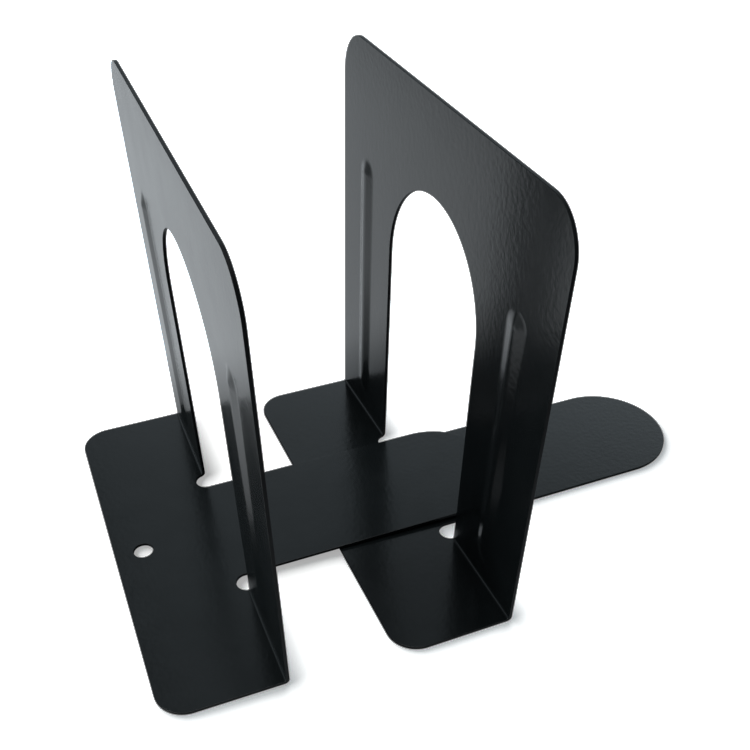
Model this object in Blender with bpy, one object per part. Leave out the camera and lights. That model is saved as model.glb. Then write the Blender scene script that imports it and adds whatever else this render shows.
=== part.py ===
"""A pair of one-piece book ends, each cut and folded from a single sheet of black enamelled steel.

World axes, in metres: +Z up from the shelf, +X the way both tongues point, +Y to the back.
The origin is the outer corner of the right book end's fold, on the shelf, midway across its width.
The right book end lies flat. The left one stands with its tongue over the right one's foot.

Each book end starts as a flat blank, drawn in (u, y): u runs from the foot through the fold into
the upright, and is zero where the fold's outer corner will be. The two legs and the head above the
arch are then folded up, and the tongue stays flat.
"""

import math

import bmesh
import bpy
from mathutils import Matrix, Vector

MM = 0.001

# Overall sizes of one book end
WIDTH = 133.35 * MM
HEIGHT = 127.0 * MM
DEPTH = 133.35 * MM
FOOT_LENGTH = 36.85 * MM
SHEET = 1.0 * MM
INNER_BEND_RADIUS = 0.6 * MM
RIGHT_FOLD = math.radians(89.0)
LEFT_FOLD = math.radians(89.8)

# Tongue, and the arch that it is cut from
TONGUE_HALF = 22.1 * MM
ARCH_HALF = 29.2 * MM
ARCH_HEIGHT = 101.9 * MM
RELIEF_CENTRE_U = -0.5 * MM

# Rounded corners, and the hole in the foot
HEAD_CORNER_RADIUS = 12.7 * MM
FOOT_CORNER_RADIUS = 9.2 * MM
HOLE_RADIUS = 3.1 * MM
HOLE_U = -27.8 * MM

# Pressed rib on each leg, raised on the foot's side
RIB_HALF_WIDTH = 5.3 * MM
RIB_BOTTOM = 8.0 * MM
RIB_TOP = 94.8 * MM
RIB_SLOPE = math.radians(15.0)
RIB_EDGE_RADIUS = 6.0 * MM

# Where the left book end stands
LEFT_X = -67.6 * MM
LEFT_Y = 3.0 * MM
LEFT_YAW = math.radians(-1.4)
CLEARANCE = 0.3 * MM

# Points on round stretches
CORNER_STEPS = 10
TONGUE_STEPS = 40
ARCH_STEPS = 48
RELIEF_STEPS = 14
HOLE_STEPS = 32
RIB_END_STEPS = 14
RIB_ARC_STEPS = 4
BEND_STEPS = 8

# The sheet's middle surface keeps its length when it is folded
BEND_START_U = -(INNER_BEND_RADIUS + SHEET)
BEND_MIDDLE_RADIUS = INNER_BEND_RADIUS + SHEET / 2
BEND_LENGTH = BEND_MIDDLE_RADIUS * math.pi / 2
SLOT_MIDDLE = (TONGUE_HALF + ARCH_HALF) / 2
TONGUE_LENGTH = DEPTH - FOOT_LENGTH


def on_upright(height):
    """Return the blank's u for a height on the upright."""
    return BEND_START_U + BEND_LENGTH + height + BEND_START_U


def arc(centre_u, centre_y, radius, start, end, steps):
    """Return the points of an arc in the blank, with both of its ends."""
    points = []
    for step in range(steps + 1):
        angle = start + (end - start) * step / steps
        points.append((centre_u + radius * math.cos(angle), centre_y + radius * math.sin(angle)))
    return points


def outer_outline():
    """Return the blank's outside: square, with the foot's and the head's corners rounded."""
    side = WIDTH / 2
    head_u = on_upright(HEIGHT) - HEAD_CORNER_RADIUS
    head_y = side - HEAD_CORNER_RADIUS
    foot_u = -FOOT_LENGTH + FOOT_CORNER_RADIUS
    foot_y = side - FOOT_CORNER_RADIUS
    quarter = math.pi / 2
    points = arc(head_u, head_y, HEAD_CORNER_RADIUS, 0, quarter, CORNER_STEPS)
    points += arc(foot_u, foot_y, FOOT_CORNER_RADIUS, quarter, 2 * quarter, CORNER_STEPS)
    points += arc(foot_u, -foot_y, FOOT_CORNER_RADIUS, 2 * quarter, 3 * quarter, CORNER_STEPS)
    points += arc(head_u, -head_y, HEAD_CORNER_RADIUS, 3 * quarter, 4 * quarter, CORNER_STEPS)
    return points


def slot_outline():
    """Return the slot that frees the tongue: arch, relief, tongue and relief, in one loop."""
    arch_u = on_upright(ARCH_HEIGHT) - ARCH_HALF
    tip_u = TONGUE_LENGTH - TONGUE_HALF
    relief_radius = (ARCH_HALF - TONGUE_HALF) / 2
    quarter = math.pi / 2
    points = arc(arch_u, 0, ARCH_HALF, -quarter, quarter, ARCH_STEPS)
    points += arc(RELIEF_CENTRE_U, SLOT_MIDDLE, relief_radius, quarter, 3 * quarter, RELIEF_STEPS)
    points += arc(tip_u, 0, TONGUE_HALF, quarter, -quarter, TONGUE_STEPS)
    points += arc(RELIEF_CENTRE_U, -SLOT_MIDDLE, relief_radius, quarter, 3 * quarter, RELIEF_STEPS)
    return points


def rib_profile():
    """Return the rib's half section as (distance from its spine, height), foot first."""
    rise = 1 - math.cos(RIB_SLOPE)
    run = math.sin(RIB_SLOPE)
    flank = (RIB_HALF_WIDTH - 2 * RIB_EDGE_RADIUS * run) / math.cos(RIB_SLOPE)
    rib_height = 2 * RIB_EDGE_RADIUS * rise + flank * run
    lower = []
    upper = []
    for step in range(RIB_ARC_STEPS + 1):
        angle = RIB_SLOPE * step / RIB_ARC_STEPS
        across = RIB_EDGE_RADIUS * math.sin(angle)
        drop = RIB_EDGE_RADIUS * (1 - math.cos(angle))
        lower.append((RIB_HALF_WIDTH - across, drop))
        upper.append((across, rib_height - drop))
    return lower + upper[:0:-1]


def stadium(centre_y, radius):
    """Return a loop at one distance from a rib's spine, with half-round ends."""
    top_u = on_upright(RIB_TOP) - RIB_HALF_WIDTH
    bottom_u = on_upright(RIB_BOTTOM) + RIB_HALF_WIDTH
    quarter = math.pi / 2
    points = arc(top_u, centre_y, radius, -quarter, quarter, RIB_END_STEPS)
    return points + arc(bottom_u, centre_y, radius, quarter, 3 * quarter, RIB_END_STEPS)


def add_ring(blank, points, height=0.0):
    """Add a closed loop of vertices at one height over the blank, and return them."""
    return [blank.verts.new((u, y, height)) for u, y in points]


def join_ring(blank, ring):
    """Join a ring's vertices with edges, and return the edges."""
    return [blank.edges.new((ring[i - 1], ring[i])) for i in range(len(ring))]


def add_rib(blank, centre_y):
    """Add one pressed rib as nested rings, and return the edges of its foot."""
    rings = [add_ring(blank, stadium(centre_y, d), h) for d, h in rib_profile()]
    foot_edges = join_ring(blank, rings[0])
    for outer, inner in zip(rings, rings[1:]):
        for i in range(len(outer)):
            blank.faces.new((outer[i - 1], outer[i], inner[i], inner[i - 1]))
    blank.faces.new(rings[-1])
    return foot_edges


def is_folded(point):
    """Tell whether a point past the bend's start goes up, being outside the slot's middle line."""
    tongue_end_u = TONGUE_LENGTH - TONGUE_HALF
    arch_end_u = on_upright(ARCH_HEIGHT) - ARCH_HALF
    past_straight = max(point.x - (tongue_end_u + arch_end_u) / 2, 0.0)
    return math.hypot(past_straight, point.y) > SLOT_MIDDLE


def cut_row(blank, faces, row_u):
    """Cut some of the blank's faces across at one u."""
    parts = faces + list({edge for face in faces for edge in face.edges})
    parts += list({vert for face in faces for vert in face.verts})
    bmesh.ops.bisect_plane(blank, geom=parts, dist=MM / 1000,
                           plane_co=(row_u, 0, 0), plane_no=(1, 0, 0))


def cut_bend_rows(blank):
    """Cut the sheet where the bend starts, and the legs at each further step of the bend."""
    cut_row(blank, list(blank.faces), BEND_START_U)
    for step in range(1, BEND_STEPS + 1):
        legs = [face for face in blank.faces if is_folded(face.calc_center_median())]
        cut_row(blank, legs, BEND_START_U + BEND_LENGTH * step / BEND_STEPS)


def fold(point, angle):
    """Return where a point of the blank goes when the upright is folded up by an angle."""
    past = point.x - BEND_START_U
    middle = SHEET / 2
    if past <= 0 or not is_folded(point):
        return Vector((point.x, point.y, middle + point.z))
    turned = angle * min(past / BEND_LENGTH, 1.0)
    straight = max(past - BEND_LENGTH, 0.0)
    radius = BEND_LENGTH / angle
    x = BEND_START_U + radius * math.sin(turned) + straight * math.cos(turned)
    z = middle + radius * (1 - math.cos(turned)) + straight * math.sin(turned)
    return Vector((x - point.z * math.sin(turned), point.y, z + point.z * math.cos(turned)))


def sheet_mesh(name, fold_angle):
    """Return the middle surface of one book end, cut, ribbed and folded."""
    blank = bmesh.new()
    edges = join_ring(blank, add_ring(blank, outer_outline()))
    edges += join_ring(blank, add_ring(blank, slot_outline()))
    hole = arc(HOLE_U, 0, HOLE_RADIUS, 0, 2 * math.pi, HOLE_STEPS)
    edges += join_ring(blank, add_ring(blank, hole[:-1]))
    leg_middle = (ARCH_HALF + WIDTH / 2) / 2
    edges += add_rib(blank, leg_middle)
    edges += add_rib(blank, -leg_middle)
    bmesh.ops.triangle_fill(blank, edges=edges, use_beauty=True, normal=(0, 0, 1))
    cut_bend_rows(blank)
    for vert in blank.verts:
        vert.co = fold(vert.co, fold_angle)
    bmesh.ops.recalc_face_normals(blank, faces=blank.faces)
    mesh = bpy.data.meshes.new(name)
    blank.to_mesh(mesh)
    blank.free()
    return mesh


def black_enamel():
    """Return the semi-gloss black enamel that covers both book ends."""
    material = bpy.data.materials.new("black_enamel")
    material.use_nodes = True
    shader = material.node_tree.nodes["Principled BSDF"]
    shader.inputs["Base Color"].default_value = (0.012, 0.013, 0.014, 1.0)
    shader.inputs["Metallic"].default_value = 0.0
    shader.inputs["Roughness"].default_value = 0.22
    return material


def add_book_end(name, fold_angle, material):
    """Add one book end at the world origin, thickened to the sheet's gauge."""
    mesh = sheet_mesh(name, fold_angle)
    mesh.materials.append(material)
    book_end = bpy.data.objects.new(name, mesh)
    bpy.context.collection.objects.link(book_end)
    mesh.shade_smooth()
    mesh.set_sharp_from_angle(angle=math.radians(30))
    thickness = book_end.modifiers.new("sheet", 'SOLIDIFY')
    thickness.thickness = SHEET
    thickness.offset = 0.0
    thickness.use_even_offset = True
    return book_end


def left_place():
    """Return the left book end's place: its foot's edge on the shelf, its tongue on the other foot."""
    reach = abs(LEFT_X)
    pitch = math.atan((SHEET + CLEARANCE) / reach)
    lift = FOOT_LENGTH * math.sin(pitch)
    turn = Matrix.Rotation(LEFT_YAW, 4, 'Z') @ Matrix.Rotation(-pitch, 4, 'Y')
    return Matrix.Translation((LEFT_X, LEFT_Y, lift)) @ turn


def main():
    for old in list(bpy.data.objects):
        bpy.data.objects.remove(old, do_unlink=True)
    enamel = black_enamel()
    add_book_end("right_book_end", RIGHT_FOLD, enamel)
    left = add_book_end("left_book_end", LEFT_FOLD, enamel)
    left.matrix_world = left_place()


main()
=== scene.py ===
"""Looks of the pair of black sheet-steel book ends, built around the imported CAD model."""

import math

import bmesh
import bpy
from mathutils import Matrix, Vector


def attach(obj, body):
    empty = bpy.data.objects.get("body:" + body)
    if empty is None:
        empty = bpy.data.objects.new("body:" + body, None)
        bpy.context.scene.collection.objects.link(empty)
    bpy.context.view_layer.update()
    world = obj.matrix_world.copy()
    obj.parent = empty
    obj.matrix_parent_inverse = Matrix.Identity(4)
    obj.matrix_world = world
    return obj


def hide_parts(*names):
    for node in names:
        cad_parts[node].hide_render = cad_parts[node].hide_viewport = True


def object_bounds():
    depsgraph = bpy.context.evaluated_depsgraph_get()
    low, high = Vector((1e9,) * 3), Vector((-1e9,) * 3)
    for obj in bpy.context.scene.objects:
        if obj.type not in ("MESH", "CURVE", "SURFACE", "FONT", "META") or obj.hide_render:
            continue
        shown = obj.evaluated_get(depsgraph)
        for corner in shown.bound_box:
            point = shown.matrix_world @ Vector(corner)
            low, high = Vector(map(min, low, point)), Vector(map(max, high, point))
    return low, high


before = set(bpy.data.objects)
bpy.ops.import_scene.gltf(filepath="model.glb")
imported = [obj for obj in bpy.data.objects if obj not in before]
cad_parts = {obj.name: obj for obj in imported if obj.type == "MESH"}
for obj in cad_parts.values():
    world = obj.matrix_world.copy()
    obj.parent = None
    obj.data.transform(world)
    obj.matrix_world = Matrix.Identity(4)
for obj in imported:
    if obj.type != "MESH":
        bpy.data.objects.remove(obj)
cad_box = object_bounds()

MM = 0.001

# The sheet's sizes, as the CAD builds them
WIDTH = 133.35 * MM
HEIGHT = 127.0 * MM
DEPTH = 133.35 * MM
FOOT_LENGTH = 36.85 * MM
SHEET = 1.0 * MM
INNER_BEND_RADIUS = 0.6 * MM
RIGHT_FOLD = math.radians(89.0)
LEFT_FOLD = math.radians(89.8)
TONGUE_HALF = 22.1 * MM
ARCH_HALF = 29.2 * MM
ARCH_HEIGHT = 101.9 * MM
RELIEF_CENTRE_U = -0.5 * MM
HEAD_CORNER_RADIUS = 12.7 * MM
FOOT_CORNER_RADIUS = 9.2 * MM
HOLE_RADIUS = 3.1 * MM
HOLE_U = -27.8 * MM
RIB_HALF_WIDTH = 5.3 * MM
RIB_BOTTOM = 8.0 * MM
RIB_TOP = 94.8 * MM
RIB_SLOPE = math.radians(15.0)
RIB_EDGE_RADIUS = 6.0 * MM
LEFT_X = -67.6 * MM
LEFT_Y = 3.0 * MM
LEFT_YAW = math.radians(-1.4)
CLEARANCE = 0.3 * MM

# The sheared edges are softened by the enamel that runs over them
EDGE_ROUND = 0.14 * MM
EDGE_STEPS = 3
OUTWARD_SPAN = 1.0 * MM

# Enamel: darkest and lightest black, range of roughness, and gloss, on the faces and the thin cut edge
FACE_BLACKS = ((0.0040, 0.0054, 0.0058, 1.0), (0.0056, 0.0072, 0.0078, 1.0))
FACE_ROUGHNESS = (0.18, 0.21)
FACE_GLOSS = 0.5
CUT_BLACKS = ((0.0030, 0.0036, 0.0040, 1.0), (0.0046, 0.0054, 0.0060, 1.0))
CUT_ROUGHNESS = (0.42, 0.5)
CUT_GLOSS = 0.12
TINT_PATCH = 9 * MM
HAZE_PATCH = 14 * MM
WAVE_LENGTH = 30 * MM
WAVE_DEPTH = 0.02 * MM
PEEL_LENGTH = 1.5 * MM
PEEL_DEPTH = 0.03 * MM

# Floors: how near an edge the seen one's painted shadow reaches, and its glow from deepest painted
# shadow to open paper
FLOOR_HALF = 3.0
SEEN_GAP = 0.06 * MM
MIRRORED_GAP = 0.05 * MM
PAINTED_SHADOW_REACH = 9 * MM
PAINTED_SHADOW_OPENNESS = (0.68, 0.965)
PAINTED_SHADOW_GLOW = (0.39, 0.53)
TOWARD_SHEET = (-0.37, 0.93, 0.02)
PAPER = (0.92, 0.94, 0.96, 1.0)

# Walls that the enamel mirrors: (height of the direction, level), and the tint of the levels
WALL_BEHIND = [(0.0, 0.75), (0.34, 0.6), (0.45, 0.52), (0.6, 0.42), (0.77, 0.42), (1.0, 0.3)]
WALL_RIGHT = [(0.0, 1.15), (0.34, 1.12), (0.57, 0.88), (0.66, 0.4), (0.77, 0.12), (1.0, 0.3)]
WALL_TINT = (0.87, 1.0, 1.08)

# Camera: above the left front corner, with the frame's middle above the lens axis
CAMERA_PLACE = (-0.11087, -0.22062, 0.21515)
CAMERA_AZIMUTH = 0.4051
CAMERA_ELEVATION = 0.7902
CAMERA_ROLL = 0.0083
FRAME_SIDE = 750
FOCAL_LENGTH = 941.24
AXIS_ROW = 553.0
SENSOR_WIDTH = 36.0

# Brightness is shown as it is up to the first level, and is white from the second
HIGHLIGHT_START = 0.42
HIGHLIGHT_WHITE = 0.52

# Points on round stretches
CORNER_STEPS = 20
TONGUE_STEPS = 96
ARCH_STEPS = 112
RELIEF_STEPS = 28
HOLE_STEPS = 56
RIB_END_STEPS = 32
RIB_ARC_STEPS = 8
BEND_STEPS = 16

BEND_START_U = -(INNER_BEND_RADIUS + SHEET)
BEND_MIDDLE_RADIUS = INNER_BEND_RADIUS + SHEET / 2
BEND_LENGTH = BEND_MIDDLE_RADIUS * math.pi / 2
SLOT_MIDDLE = (TONGUE_HALF + ARCH_HALF) / 2
TONGUE_LENGTH = DEPTH - FOOT_LENGTH
UP = Vector((0, 0, 1))


# ---------------------------------------------------------------- the blank


def on_upright(height):
    """Return the blank's u for a height on the upright."""
    return BEND_START_U + BEND_LENGTH + height + BEND_START_U


def arc(centre_u, centre_y, radius, start, end, steps):
    """Return the points of an arc in the blank, with both of its ends."""
    points = []
    for step in range(steps + 1):
        angle = start + (end - start) * step / steps
        points.append((centre_u + radius * math.cos(angle), centre_y + radius * math.sin(angle)))
    return points


def outer_outline(inset):
    """Return the blank's outside, square with rounded corners, drawn in from the edge by an inset."""
    head_u = on_upright(HEIGHT) - HEAD_CORNER_RADIUS
    head_y = WIDTH / 2 - HEAD_CORNER_RADIUS
    head_radius = HEAD_CORNER_RADIUS - inset
    foot_u = -FOOT_LENGTH + FOOT_CORNER_RADIUS
    foot_y = WIDTH / 2 - FOOT_CORNER_RADIUS
    foot_radius = FOOT_CORNER_RADIUS - inset
    quarter = math.pi / 2
    points = arc(head_u, head_y, head_radius, 0, quarter, CORNER_STEPS)
    points += arc(foot_u, foot_y, foot_radius, quarter, 2 * quarter, CORNER_STEPS)
    points += arc(foot_u, -foot_y, foot_radius, 2 * quarter, 3 * quarter, CORNER_STEPS)
    points += arc(head_u, -head_y, head_radius, 3 * quarter, 4 * quarter, CORNER_STEPS)
    return points


def slot_outline(inset):
    """Return the slot that frees the tongue, in one loop, widened into the sheet by an inset."""
    arch_u = on_upright(ARCH_HEIGHT) - ARCH_HALF
    tip_u = TONGUE_LENGTH - TONGUE_HALF
    relief_radius = (ARCH_HALF - TONGUE_HALF) / 2 + inset
    quarter = math.pi / 2
    points = arc(arch_u, 0, ARCH_HALF + inset, -quarter, quarter, ARCH_STEPS)
    points += arc(RELIEF_CENTRE_U, SLOT_MIDDLE, relief_radius, quarter, 3 * quarter, RELIEF_STEPS)
    points += arc(tip_u, 0, TONGUE_HALF - inset, quarter, -quarter, TONGUE_STEPS)
    points += arc(RELIEF_CENTRE_U, -SLOT_MIDDLE, relief_radius, quarter, 3 * quarter, RELIEF_STEPS)
    return points


def hole_outline(inset):
    """Return the round hole in the foot, widened by an inset."""
    return arc(HOLE_U, 0, HOLE_RADIUS + inset, 0, 2 * math.pi, HOLE_STEPS)[:-1]


def rib_profile():
    """Return the rib's half section, foot first, as (distance from its spine, height, slope)."""
    rise = 1 - math.cos(RIB_SLOPE)
    run = math.sin(RIB_SLOPE)
    flank = (RIB_HALF_WIDTH - 2 * RIB_EDGE_RADIUS * run) / math.cos(RIB_SLOPE)
    rib_height = 2 * RIB_EDGE_RADIUS * rise + flank * run
    lower = []
    upper = []
    for step in range(RIB_ARC_STEPS + 1):
        slope = RIB_SLOPE * step / RIB_ARC_STEPS
        across = RIB_EDGE_RADIUS * math.sin(slope)
        drop = RIB_EDGE_RADIUS * (1 - math.cos(slope))
        lower.append((RIB_HALF_WIDTH - across, drop, slope))
        upper.append((across, rib_height - drop, slope))
    return lower + upper[:0:-1]


def add_rib(blank, centre_y):
    """Add one pressed rib as nested rings with half-round ends, and return its foot's vertices."""
    top_u = on_upright(RIB_TOP) - RIB_HALF_WIDTH
    bottom_u = on_upright(RIB_BOTTOM) + RIB_HALF_WIDTH
    quarter = math.pi / 2
    rings = []
    for distance, height, slope in rib_profile():
        ring = []
        for centre_u, start in ((top_u, -quarter), (bottom_u, quarter)):
            for step in range(RIB_END_STEPS + 1):
                angle = start + 2 * quarter * step / RIB_END_STEPS
                out = Vector((math.cos(angle), math.sin(angle), 0))
                spine = Vector((centre_u, centre_y, SHEET / 2 + height))
                ring.append(add_point(blank, spine + out * distance,
                                      out * math.sin(slope) + UP * math.cos(slope)))
        rings.append(ring)
    join_rings(blank, rings)
    blank.faces.new(rings[-1])
    return rings[0]


def add_point(blank, place, normal):
    """Add a vertex to the blank, with the direction that its skin faces."""
    vertex = blank.verts.new(place)
    vertex[blank.verts.layers.float_vector["facing"]] = normal
    return vertex


def join_rings(blank, rings):
    """Join each closed ring of vertices to the next with quads, and return the quads."""
    quads = []
    for outer, inner in zip(rings, rings[1:]):
        for i in range(len(outer)):
            quads.append(blank.faces.new((outer[i - 1], outer[i], inner[i], inner[i - 1])))
    return quads


def add_edge(blank, outline, top, bottom):
    """Close one outline's sheared edge, rounded over at both faces, between two rings."""
    inner = outline(OUTWARD_SPAN)
    outer = outline(0.0)
    outward = [Vector((b[0] - a[0], b[1] - a[1], 0)).normalized() for a, b in zip(inner, outer)]
    profile = []
    for side in (1, -1):
        for step in range(EDGE_STEPS + 1):
            angle = math.pi / 2 * step / EDGE_STEPS
            inset = EDGE_ROUND * (1 - math.sin(angle))
            height = side * (SHEET / 2 - EDGE_ROUND * (1 - math.cos(angle)))
            profile.append((inset, height, math.sin(angle), side * math.cos(angle)))
    profile = profile[1:EDGE_STEPS + 1] + profile[:EDGE_STEPS + 1:-1]
    rings = [top]
    for inset, height, along, over in profile:
        points = outline(inset)
        rings.append([add_point(blank, Vector((*point, height)), out * along + UP * over)
                      for point, out in zip(points, outward)])
    join_rings(blank, rings[:2])
    for face in join_rings(blank, rings[1:] + [bottom]):
        face.material_index = 1


# ---------------------------------------------------------------- folding


def is_folded(point):
    """Tell whether a point past the bend's start goes up, being outside the slot's middle line."""
    tongue_end_u = TONGUE_LENGTH - TONGUE_HALF
    arch_end_u = on_upright(ARCH_HEIGHT) - ARCH_HALF
    past_straight = max(point.x - (tongue_end_u + arch_end_u) / 2, 0.0)
    return math.hypot(past_straight, point.y) > SLOT_MIDDLE


def cut_row(blank, faces, row_u):
    """Cut some of the blank's faces across at one u."""
    parts = faces + list({edge for face in faces for edge in face.edges})
    parts += list({vert for face in faces for vert in face.verts})
    bmesh.ops.bisect_plane(blank, geom=parts, dist=MM / 1000,
                           plane_co=(row_u, 0, 0), plane_no=(1, 0, 0))


def cut_bend_rows(blank):
    """Cut the sheet where the bend starts, and the legs at each further step of the bend."""
    cut_row(blank, list(blank.faces), BEND_START_U)
    for step in range(1, BEND_STEPS + 1):
        legs = [face for face in blank.faces if is_folded(face.calc_center_median())]
        cut_row(blank, legs, BEND_START_U + BEND_LENGTH * step / BEND_STEPS)


def fold(point, facing, angle):
    """Return a blank point's place and facing after the upright is folded up by an angle."""
    past = point.x - BEND_START_U
    middle = SHEET / 2
    if past <= 0 or not is_folded(point):
        return Vector((point.x, point.y, middle + point.z)), facing
    turned = angle * min(past / BEND_LENGTH, 1.0)
    straight = max(past - BEND_LENGTH, 0.0)
    radius = BEND_LENGTH / angle
    x = BEND_START_U + radius * math.sin(turned) + straight * math.cos(turned)
    z = middle + radius * (1 - math.cos(turned)) + straight * math.sin(turned)
    turn = Matrix.Rotation(-turned, 3, 'Y')
    return Vector((x, point.y, z)) + turn @ Vector((0, 0, point.z)), turn @ facing


def add_faces(blank):
    """Add the sheet's upper and lower faces with their ribs, and close every edge between them."""
    outlines = (outer_outline, slot_outline, hole_outline)
    tops = []
    for outline in outlines:
        tops.append([add_point(blank, Vector((*point, SHEET / 2)), UP) for point in outline(EDGE_ROUND)])
    leg_middle = (ARCH_HALF + WIDTH / 2) / 2
    loops = tops + [add_rib(blank, leg_middle), add_rib(blank, -leg_middle)]
    edges = []
    for ring in loops:
        for i in range(len(ring)):
            ends = (ring[i - 1], ring[i])
            edges.append(blank.edges.get(ends) or blank.edges.new(ends))
    bmesh.ops.triangle_fill(blank, edges=edges, use_beauty=True, normal=UP)
    upper = list(blank.faces)
    bmesh.ops.recalc_face_normals(blank, faces=upper)
    copy = bmesh.ops.duplicate(blank, geom=list(blank.verts) + list(blank.edges) + upper)
    facing = blank.verts.layers.float_vector["facing"]
    for vert in [part for part in copy["geom"] if isinstance(part, bmesh.types.BMVert)]:
        vert.co.z -= SHEET
        vert[facing] = -vert[facing]
    for outline, top in zip(outlines, tops):
        add_edge(blank, outline, top, [copy["vert_map"][vert] for vert in top])


def sheet_mesh(name, fold_angle, place):
    """Return the closed skin of one book end, cut, ribbed, folded and put in place."""
    blank = bmesh.new()
    blank.verts.layers.float_vector.new("facing")
    add_faces(blank)
    cut_bend_rows(blank)
    bmesh.ops.recalc_face_normals(blank, faces=blank.faces)
    facing = blank.verts.layers.float_vector["facing"]
    turn = place.to_3x3()
    normals = []
    for vert in blank.verts:
        vert.co, normal = fold(vert.co, vert[facing], fold_angle)
        vert.co = place @ vert.co
        normals.append((turn @ normal).normalized())
    blank.verts.layers.float_vector.remove(facing)
    mesh = bpy.data.meshes.new(name)
    blank.to_mesh(mesh)
    blank.free()
    mesh.shade_smooth()
    mesh.normals_split_custom_set_from_vertices(normals)
    return mesh


def add_book_end(name, node, body, fold_angle, place, enamel, cut_edge):
    """Add one finished book end in place of its CAD node."""
    mesh = sheet_mesh(name, fold_angle, place)
    mesh.materials.append(enamel)
    mesh.materials.append(cut_edge)
    book_end = bpy.data.objects.new(name, mesh)
    bpy.context.scene.collection.objects.link(book_end)
    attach(book_end, body)
    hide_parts(node)


def left_place():
    """Return the left book end's place: its foot's edge on the shelf, its tongue on the other foot."""
    pitch = math.atan((SHEET + CLEARANCE) / abs(LEFT_X))
    lift = FOOT_LENGTH * math.sin(pitch)
    turn = Matrix.Rotation(LEFT_YAW, 4, 'Z') @ Matrix.Rotation(-pitch, 4, 'Y')
    return Matrix.Translation((LEFT_X, LEFT_Y, lift)) @ turn


# ---------------------------------------------------------------- materials


def add_noise(nodes, links, coordinates, size, detail):
    """Add a noise texture whose features are about one size across, and return its value socket."""
    noise = nodes.new("ShaderNodeTexNoise")
    noise.inputs["Scale"].default_value = 1 / size
    noise.inputs["Detail"].default_value = detail
    links.new(coordinates, noise.inputs["Vector"])
    return noise.outputs["Fac"]


def spread(nodes, links, value, from_range, to_range):
    """Spread a value from one range over another, and return the result's socket."""
    node = nodes.new("ShaderNodeMapRange")
    node.inputs["From Min"].default_value, node.inputs["From Max"].default_value = from_range
    node.inputs["To Min"].default_value, node.inputs["To Max"].default_value = to_range
    links.new(value, node.inputs["Value"])
    return node.outputs["Result"]


def times(nodes, links, first, second):
    """Multiply two values, and return the result's socket."""
    product = nodes.new("ShaderNodeMath")
    product.operation = 'MULTIPLY'
    links.new(first, product.inputs[0])
    links.new(second, product.inputs[1])
    return product.outputs["Value"]


def add_bump(nodes, links, height, depth, normal=None):
    """Add a bump of a real depth in metres on top of another, and return its normal socket."""
    bump = nodes.new("ShaderNodeBump")
    bump.inputs["Strength"].default_value = 1.0
    bump.inputs["Distance"].default_value = depth
    links.new(height, bump.inputs["Height"])
    if normal is not None:
        links.new(normal, bump.inputs["Normal"])
    return bump.outputs["Normal"]


def baked_enamel(name, blacks, roughness, gloss):
    """Return black enamel baked on sheet: a faintly uneven black, orange peel and a slight wave."""
    material = bpy.data.materials.new(name)
    material.use_nodes = True
    nodes = material.node_tree.nodes
    links = material.node_tree.links
    shader = nodes["Principled BSDF"]
    coordinates = nodes.new("ShaderNodeTexCoord").outputs["Object"]
    shader.inputs["Metallic"].default_value = 0.0
    shader.inputs["IOR"].default_value = 1.5
    shader.inputs["Specular IOR Level"].default_value = gloss
    tint = nodes.new("ShaderNodeValToRGB")
    tint.color_ramp.elements[0].position = 0.35
    tint.color_ramp.elements[0].color = blacks[0]
    tint.color_ramp.elements[1].position = 0.65
    tint.color_ramp.elements[1].color = blacks[1]
    links.new(add_noise(nodes, links, coordinates, TINT_PATCH, 3.0), tint.inputs["Fac"])
    links.new(tint.outputs["Color"], shader.inputs["Base Color"])
    haze = add_noise(nodes, links, coordinates, HAZE_PATCH, 4.0)
    links.new(spread(nodes, links, haze, (0.3, 0.7), roughness), shader.inputs["Roughness"])
    wave = add_noise(nodes, links, coordinates, WAVE_LENGTH, 0.0)
    peel = add_noise(nodes, links, coordinates, PEEL_LENGTH, 1.0)
    waved = add_bump(nodes, links, wave, WAVE_DEPTH)
    links.new(add_bump(nodes, links, peel, PEEL_DEPTH, waved), shader.inputs["Normal"])
    return material


def floor_white_painted_shadow():
    """Return the glowing paper that is seen, its glow dimmed by a painted shadow along the near right of
    any edge.
    """
    material = bpy.data.materials.new("floor_white_painted_shadow")
    material.use_nodes = True
    nodes = material.node_tree.nodes
    links = material.node_tree.links
    shader = nodes["Principled BSDF"]
    shader.inputs["Base Color"].default_value = (0.05, 0.05, 0.05, 1.0)
    shader.inputs["Roughness"].default_value = 0.9
    shader.inputs["Specular IOR Level"].default_value = 0.0
    shader.inputs["Emission Color"].default_value = (1.0, 1.0, 1.0, 1.0)
    # The paper glows instead of being lit. Where a sheet stands close toward the back left, its glow is
    # dimmed: a painted shadow.
    toward_sheet = nodes.new("ShaderNodeCombineXYZ")
    for socket, part in zip(toward_sheet.inputs, TOWARD_SHEET):
        socket.default_value = part
    openness = nodes.new("ShaderNodeAmbientOcclusion")
    openness.samples = 32
    openness.inputs["Distance"].default_value = PAINTED_SHADOW_REACH
    links.new(toward_sheet.outputs["Vector"], openness.inputs["Normal"])
    glow = spread(nodes, links, openness.outputs["AO"], PAINTED_SHADOW_OPENNESS, PAINTED_SHADOW_GLOW)
    links.new(glow, shader.inputs["Emission Strength"])
    return material


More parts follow.
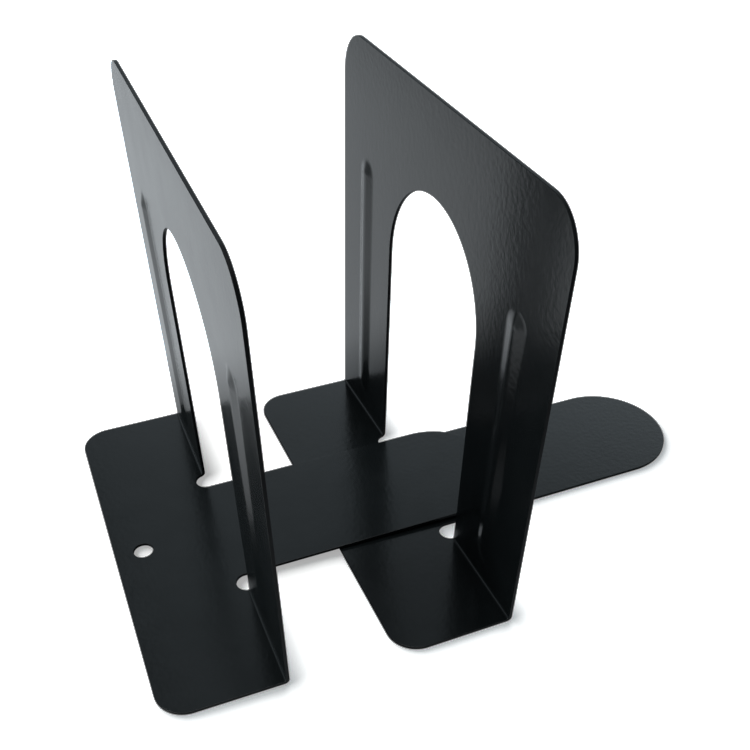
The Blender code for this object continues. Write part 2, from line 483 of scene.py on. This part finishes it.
def floor_pale_painted_shade():
    """Return the paper that the enamel mirrors, with painted shade: dim far to the left and front,
    darkest between the ends.
    """
    material = bpy.data.materials.new("floor_pale_painted_shade")
    material.use_nodes = True
    nodes = material.node_tree.nodes
    links = material.node_tree.links
    shader = nodes["Principled BSDF"]
    coordinates = nodes.new("ShaderNodeTexCoord").outputs["Object"]
    shader.inputs["Roughness"].default_value = 0.9
    shader.inputs["Specular IOR Level"].default_value = 0.0
    split = nodes.new("ShaderNodeSeparateXYZ")
    links.new(coordinates, split.inputs["Vector"])
    # Painted shade: a dark patch centred between the two ends, and darkening far to the left and to the
    # front.
    place = nodes.new("ShaderNodeMapping")
    place.vector_type = 'TEXTURE'
    place.inputs["Location"].default_value = (-0.06, 0.02, 0.0)
    place.inputs["Scale"].default_value = (0.05, 0.06, 1.0)
    links.new(coordinates, place.inputs["Vector"])
    distance = nodes.new("ShaderNodeVectorMath")
    distance.operation = 'LENGTH'
    links.new(place.outputs["Vector"], distance.inputs[0])
    left = spread(nodes, links, split.outputs["X"], (-0.3, -0.15), (0.3, 1.0))
    front = spread(nodes, links, split.outputs["Y"], (-0.2, -0.08), (0.2, 1.0))
    between = spread(nodes, links, distance.outputs["Value"], (0.6, 1.6), (0.1, 1.0))
    paper = nodes.new("ShaderNodeMix")
    paper.data_type = 'RGBA'
    paper.inputs["A"].default_value = (0.0, 0.0, 0.0, 1.0)
    paper.inputs["B"].default_value = PAPER
    links.new(times(nodes, links, times(nodes, links, left, front), between), paper.inputs["Factor"])
    links.new(paper.outputs["Result"], shader.inputs["Base Color"])
    return material


# ---------------------------------------------------------------- studio


def add_floor(name, gap, material):
    """Add a plain square floor a small gap below the object, and return it."""
    half = FLOOR_HALF
    corners = [(-half, -half, 0), (half, -half, 0), (half, half, 0), (-half, half, 0)]
    mesh = bpy.data.meshes.new(name)
    mesh.from_pydata(corners, [], [(0, 1, 2, 3)])
    mesh.materials.append(material)
    floor = bpy.data.objects.new(name, mesh)
    floor.location.z = cad_box[0].z - gap
    floor.visible_shadow = False
    bpy.context.scene.collection.objects.link(floor)
    return floor


def add_floors():
    """Add the glowing floor with a painted shadow that is seen, and the one with painted shade that the
    enamel mirrors.
    """
    seen = add_floor("floor", SEEN_GAP, floor_white_painted_shadow())
    seen.visible_glossy = False
    seen.visible_diffuse = False
    mirrored = add_floor("floor_mirrored", MIRRORED_GAP, floor_pale_painted_shade())
    mirrored.visible_camera = False


def add_ramp(nodes, links, value, levels):
    """Add a tinted ramp with a level at each position of a value, and return its colour socket."""
    ramp = nodes.new("ShaderNodeValToRGB")
    elements = ramp.color_ramp.elements
    elements[0].position = levels[0][0]
    elements[1].position = levels[-1][0]
    for position, _ in levels[1:-1]:
        elements.new(position)
    for element, (_, level) in zip(elements, levels):
        element.color = (*(part * level for part in WALL_TINT), 1.0)
    links.new(value, ramp.inputs["Fac"])
    return ramp.outputs["Color"]


def add_world():
    """Light the studio softly: bright walls behind and to the right, and dim ones elsewhere.

    The walls themselves are only mirrored. What is seen past the floor is plain white.
    """
    world = bpy.data.worlds.new("studio")
    world.use_nodes = True
    nodes = world.node_tree.nodes
    links = world.node_tree.links
    direction = nodes.new("ShaderNodeTexCoord").outputs["Generated"]
    split = nodes.new("ShaderNodeSeparateXYZ")
    links.new(direction, split.inputs["Vector"])
    behind = add_ramp(nodes, links, split.outputs["Z"], WALL_BEHIND)
    right = add_ramp(nodes, links, split.outputs["Z"], WALL_RIGHT)
    mix = nodes.new("ShaderNodeMix")
    mix.data_type = 'RGBA'
    links.new(spread(nodes, links, split.outputs["X"], (0.0, 0.6), (0.0, 1.0)), mix.inputs["Factor"])
    links.new(behind, mix.inputs["A"])
    links.new(right, mix.inputs["B"])
    links.new(mix.outputs["Result"], nodes["Background"].inputs["Color"])
    from_left = spread(nodes, links, split.outputs["X"], (-0.06, 0.0), (0.2, 1.0))
    low_down = spread(nodes, links, split.outputs["Z"], (0.3, 0.5), (0.7, 0.2))
    from_front = spread(nodes, links, split.outputs["Y"], (-0.6, 0.1), (0.3, 1.0))
    left_wall = nodes.new("ShaderNodeMath")
    left_wall.operation = 'MAXIMUM'
    links.new(from_left, left_wall.inputs[0])
    links.new(low_down, left_wall.inputs[1])
    links.new(times(nodes, links, left_wall.outputs["Value"], from_front),
              nodes["Background"].inputs["Strength"])
    backdrop = nodes.new("ShaderNodeBackground")
    backdrop.inputs["Color"].default_value = (1.0, 1.0, 1.0, 1.0)
    shown = nodes.new("ShaderNodeMixShader")
    links.new(nodes.new("ShaderNodeLightPath").outputs["Is Camera Ray"], shown.inputs[0])
    links.new(nodes["Background"].outputs["Background"], shown.inputs[1])
    links.new(backdrop.outputs["Background"], shown.inputs[2])
    links.new(shown.outputs["Shader"], nodes["World Output"].inputs["Surface"])
    bpy.context.scene.world = world


def add_softbox(name, place, target, size, power):
    """Add a square area light that faces a point."""
    data = bpy.data.lights.new(name, 'AREA')
    data.shape = 'SQUARE'
    data.size = size
    data.energy = power
    light = bpy.data.objects.new(name, data)
    light.location = place
    light.rotation_euler = (Vector(target) - Vector(place)).to_track_quat('-Z', 'Y').to_euler()
    bpy.context.scene.collection.objects.link(light)


def add_camera():
    """Add the camera: above the left front corner, looking down at the pair."""
    azimuth = CAMERA_AZIMUTH
    elevation = CAMERA_ELEVATION
    roll = CAMERA_ROLL
    data = bpy.data.cameras.new("camera")
    data.sensor_width = SENSOR_WIDTH
    data.lens = FOCAL_LENGTH / FRAME_SIDE * SENSOR_WIDTH
    data.shift_y = (AXIS_ROW - FRAME_SIDE / 2) / FRAME_SIDE
    data.clip_start = 0.01
    data.clip_end = 20.0
    forward = Vector((math.sin(azimuth) * math.cos(elevation), math.cos(azimuth) * math.cos(elevation),
                      -math.sin(elevation)))
    right = Vector((math.cos(azimuth), -math.sin(azimuth), 0.0))
    up = right.cross(forward)
    rolled_right = right * math.cos(roll) + up * math.sin(roll)
    rolled_up = up * math.cos(roll) - right * math.sin(roll)
    camera = bpy.data.objects.new("camera", data)
    turn = Matrix((rolled_right, rolled_up, -forward)).transposed().to_4x4()
    camera.matrix_world = Matrix.Translation(CAMERA_PLACE) @ turn
    bpy.context.scene.collection.objects.link(camera)
    bpy.context.scene.camera = camera


def set_exposure():
    """Show the scene's colours as they are, up to a highlight level above which all is white."""
    settings = bpy.context.scene.view_settings
    settings.view_transform = 'Standard'
    settings.look = 'None'
    settings.use_curve_mapping = True
    settings.curve_mapping.initialize()
    curve = settings.curve_mapping.curves[3]
    curve.points[0].location = (0.0, 0.0)
    curve.points[1].location = (HIGHLIGHT_WHITE, 1.0)
    curve.points.new(HIGHLIGHT_START, HIGHLIGHT_START)
    for point in curve.points:
        point.handle_type = 'VECTOR'
    settings.curve_mapping.update()


def main():
    enamel = baked_enamel("black_enamel", FACE_BLACKS, FACE_ROUGHNESS, FACE_GLOSS)
    cut_edge = baked_enamel("black_enamel_on_cut_edge", CUT_BLACKS, CUT_ROUGHNESS, CUT_GLOSS)
    add_book_end("right_book_end_sheet", "right_book_end", "right", RIGHT_FOLD, Matrix.Identity(4),
                 enamel, cut_edge)
    add_book_end("left_book_end_sheet", "left_book_end", "left", LEFT_FOLD, left_place(),
                 enamel, cut_edge)
    add_floors()
    add_world()
    add_softbox("left_softbox", (-1.1, -0.1, 1.0), (0.0, 0.0, 0.0), 0.7, 13.5)
    add_softbox("overhead_softbox", (0.0, 0.1, 1.5), (0.0, 0.1, 0.0), 0.8, 4.0)
    add_camera()
    set_exposure()


main()
